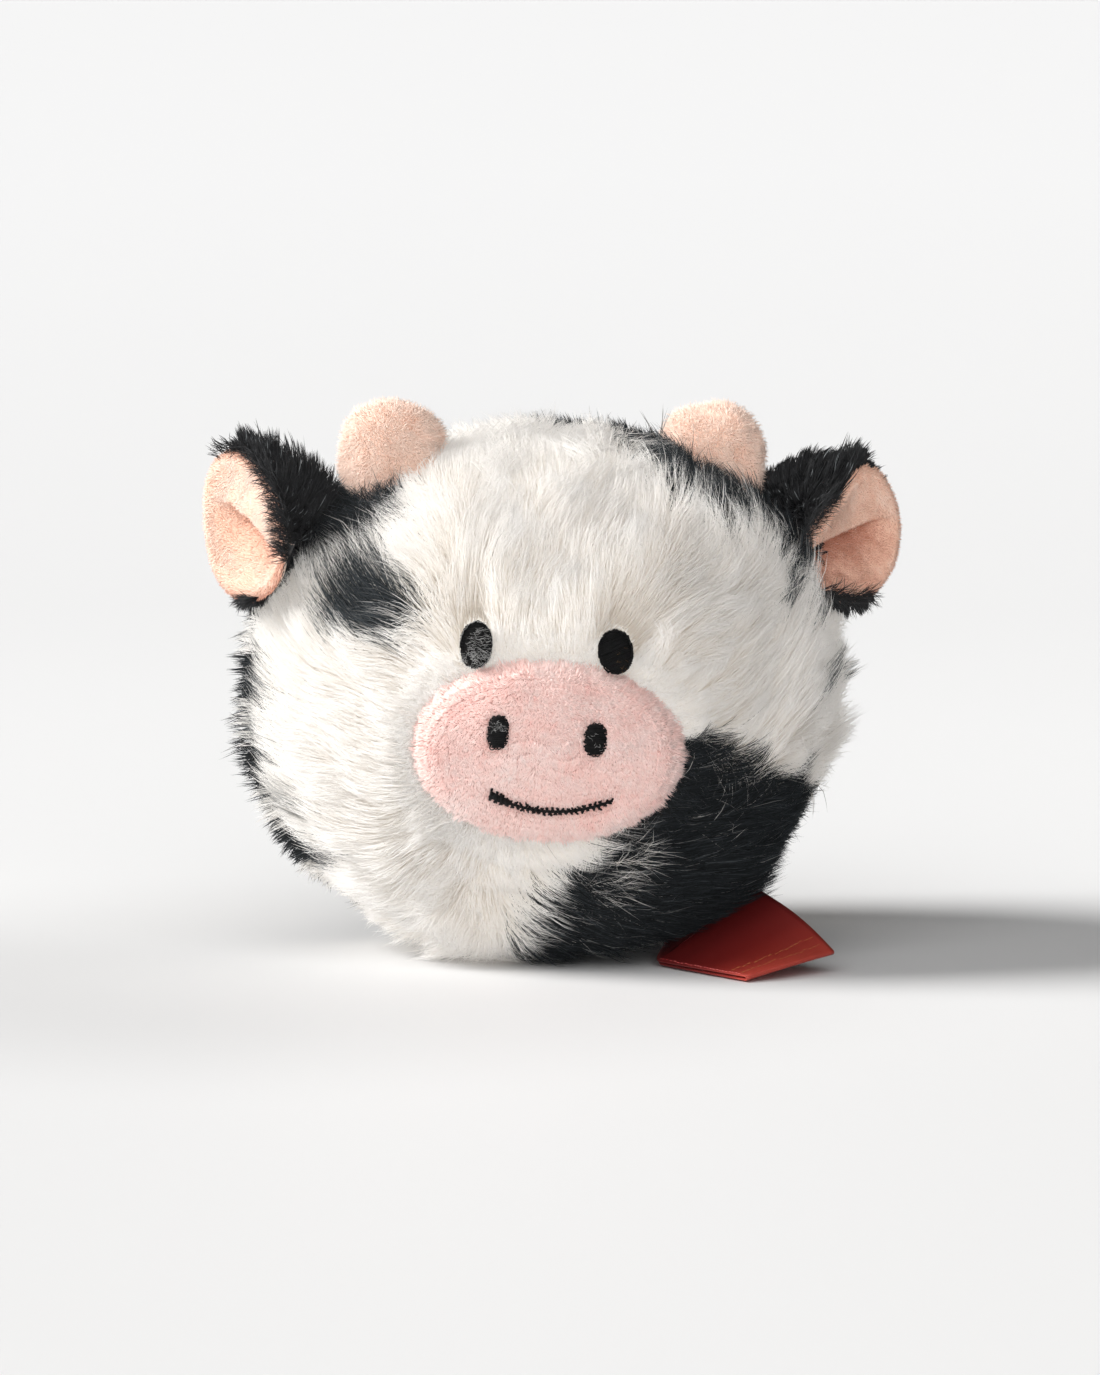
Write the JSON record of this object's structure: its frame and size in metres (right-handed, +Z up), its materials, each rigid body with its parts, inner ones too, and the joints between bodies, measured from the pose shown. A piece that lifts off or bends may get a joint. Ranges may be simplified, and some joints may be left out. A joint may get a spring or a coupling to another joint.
{
  "type": "plush ball",
  "caption": "Soft stuffed squeaking ball with a cow's face: long-pile head, short-pile muzzle, embroidered eyes, horns, cupped ears and a ribbon label on the main seam.",
  "frame": {"origin": "centre of the flat that the ball stands on", "axes": "+Z up, -Y out of the face, +X to the right as the face is looked at"},
  "size_m": [0.1195, 0.0974, 0.0981],
  "materials": {
    "pile_white": "long silky pile, matt",
    "pile_back": "pile in white and black patches, matt",
    "pile_black": "short thick pile, matt",
    "pile_pink": "short dense pile, matt",
    "pile_peach": "short dense pile, matt",
    "thread_black": "embroidery thread, slight sheen",
    "thread_white": "sewing thread",
    "thread_pink": "sewing thread",
    "thread_gold": "sewing thread, slight sheen",
    "satin_red": "woven satin, glossy",
    "fibre": "loose polyester fibre",
    "squeaker_plastic": "thin blown plastic",
    "reed_plastic": "thin film"
  },
  "bodies": {
    "root": {"front_panel": "pile_white", "back_panel": "pile_back", "seam_thread": "thread_white", "closing_stitch": "thread_white", "muzzle_patch": "pile_pink", "muzzle_stitch": "thread_pink", "eye_left": "thread_black", "eye_right": "thread_black", "nostril_left": "thread_black", "nostril_right": "thread_black", "mouth_stitch": "thread_black", "label_tail": "satin_red", "stuffing_front": "fibre", "stuffing_rear": "fibre", "squeaker_bulb": "squeaker_plastic", "squeaker_plug": "squeaker_plastic"},
    "ear_left": {"ear_left_back": "pile_black", "ear_left_lining": "pile_peach"},
    "ear_right": {"ear_right_back": "pile_black", "ear_right_lining": "pile_peach"},
    "horn_left": {"horn_left_cover": "pile_peach", "horn_left_filling": "fibre"},
    "horn_right": {"horn_right_cover": "pile_peach", "horn_right_filling": "fibre"},
    "label": {"label_ribbon": "satin_red", "label_hem_thread": "thread_gold"},
    "reed": {"squeaker_reed": "reed_plastic"}
  },
  "joints": [
    {"name": "ear_left_fold", "type": "hinge", "parent": "root", "child": "ear_left", "pos_m": [-0.04099, -0.01502, 0.06987], "axis": [0.5384, 0.1184, 0.8343], "range_deg": [-20, 20], "stiffness_Nm_per_rad": 0.004},
    {"name": "ear_right_fold", "type": "hinge", "parent": "root", "child": "ear_right", "pos_m": [0.04199, 0.00324, 0.07146], "axis": [0.5769, 0.1269, -0.8069], "range_deg": [-20, 15], "stiffness_Nm_per_rad": 0.004},
    {"name": "horn_left_tip", "type": "hinge", "parent": "root", "child": "horn_left", "pos_m": [-0.02549, -0.01161, 0.0839], "axis": [0.8684, 0.191, 0.4576], "range_deg": [-9, 9], "stiffness_Nm_per_rad": 0.006},
    {"name": "horn_right_tip", "type": "hinge", "parent": "root", "child": "horn_right", "pos_m": [0.02879, 0.00033, 0.08327], "axis": [0.8536, 0.1878, -0.4859], "range_deg": [-9, 9], "stiffness_Nm_per_rad": 0.006},
    {"name": "label_lift", "type": "hinge", "parent": "root", "child": "label", "pos_m": [0.0193, -0.027, 0.00075], "axis": [-0.7864, -0.4626, -0.4094], "range_deg": [0, 35], "stiffness_Nm_per_rad": 0.0008},
    {"name": "reed_flutter", "type": "hinge", "parent": "root", "child": "reed", "pos_m": [0, 0.004, 0.0503], "axis": [1, 0, 0], "range_deg": [-8, 8], "stiffness_Nm_per_rad": 0.0001}
  ]
}
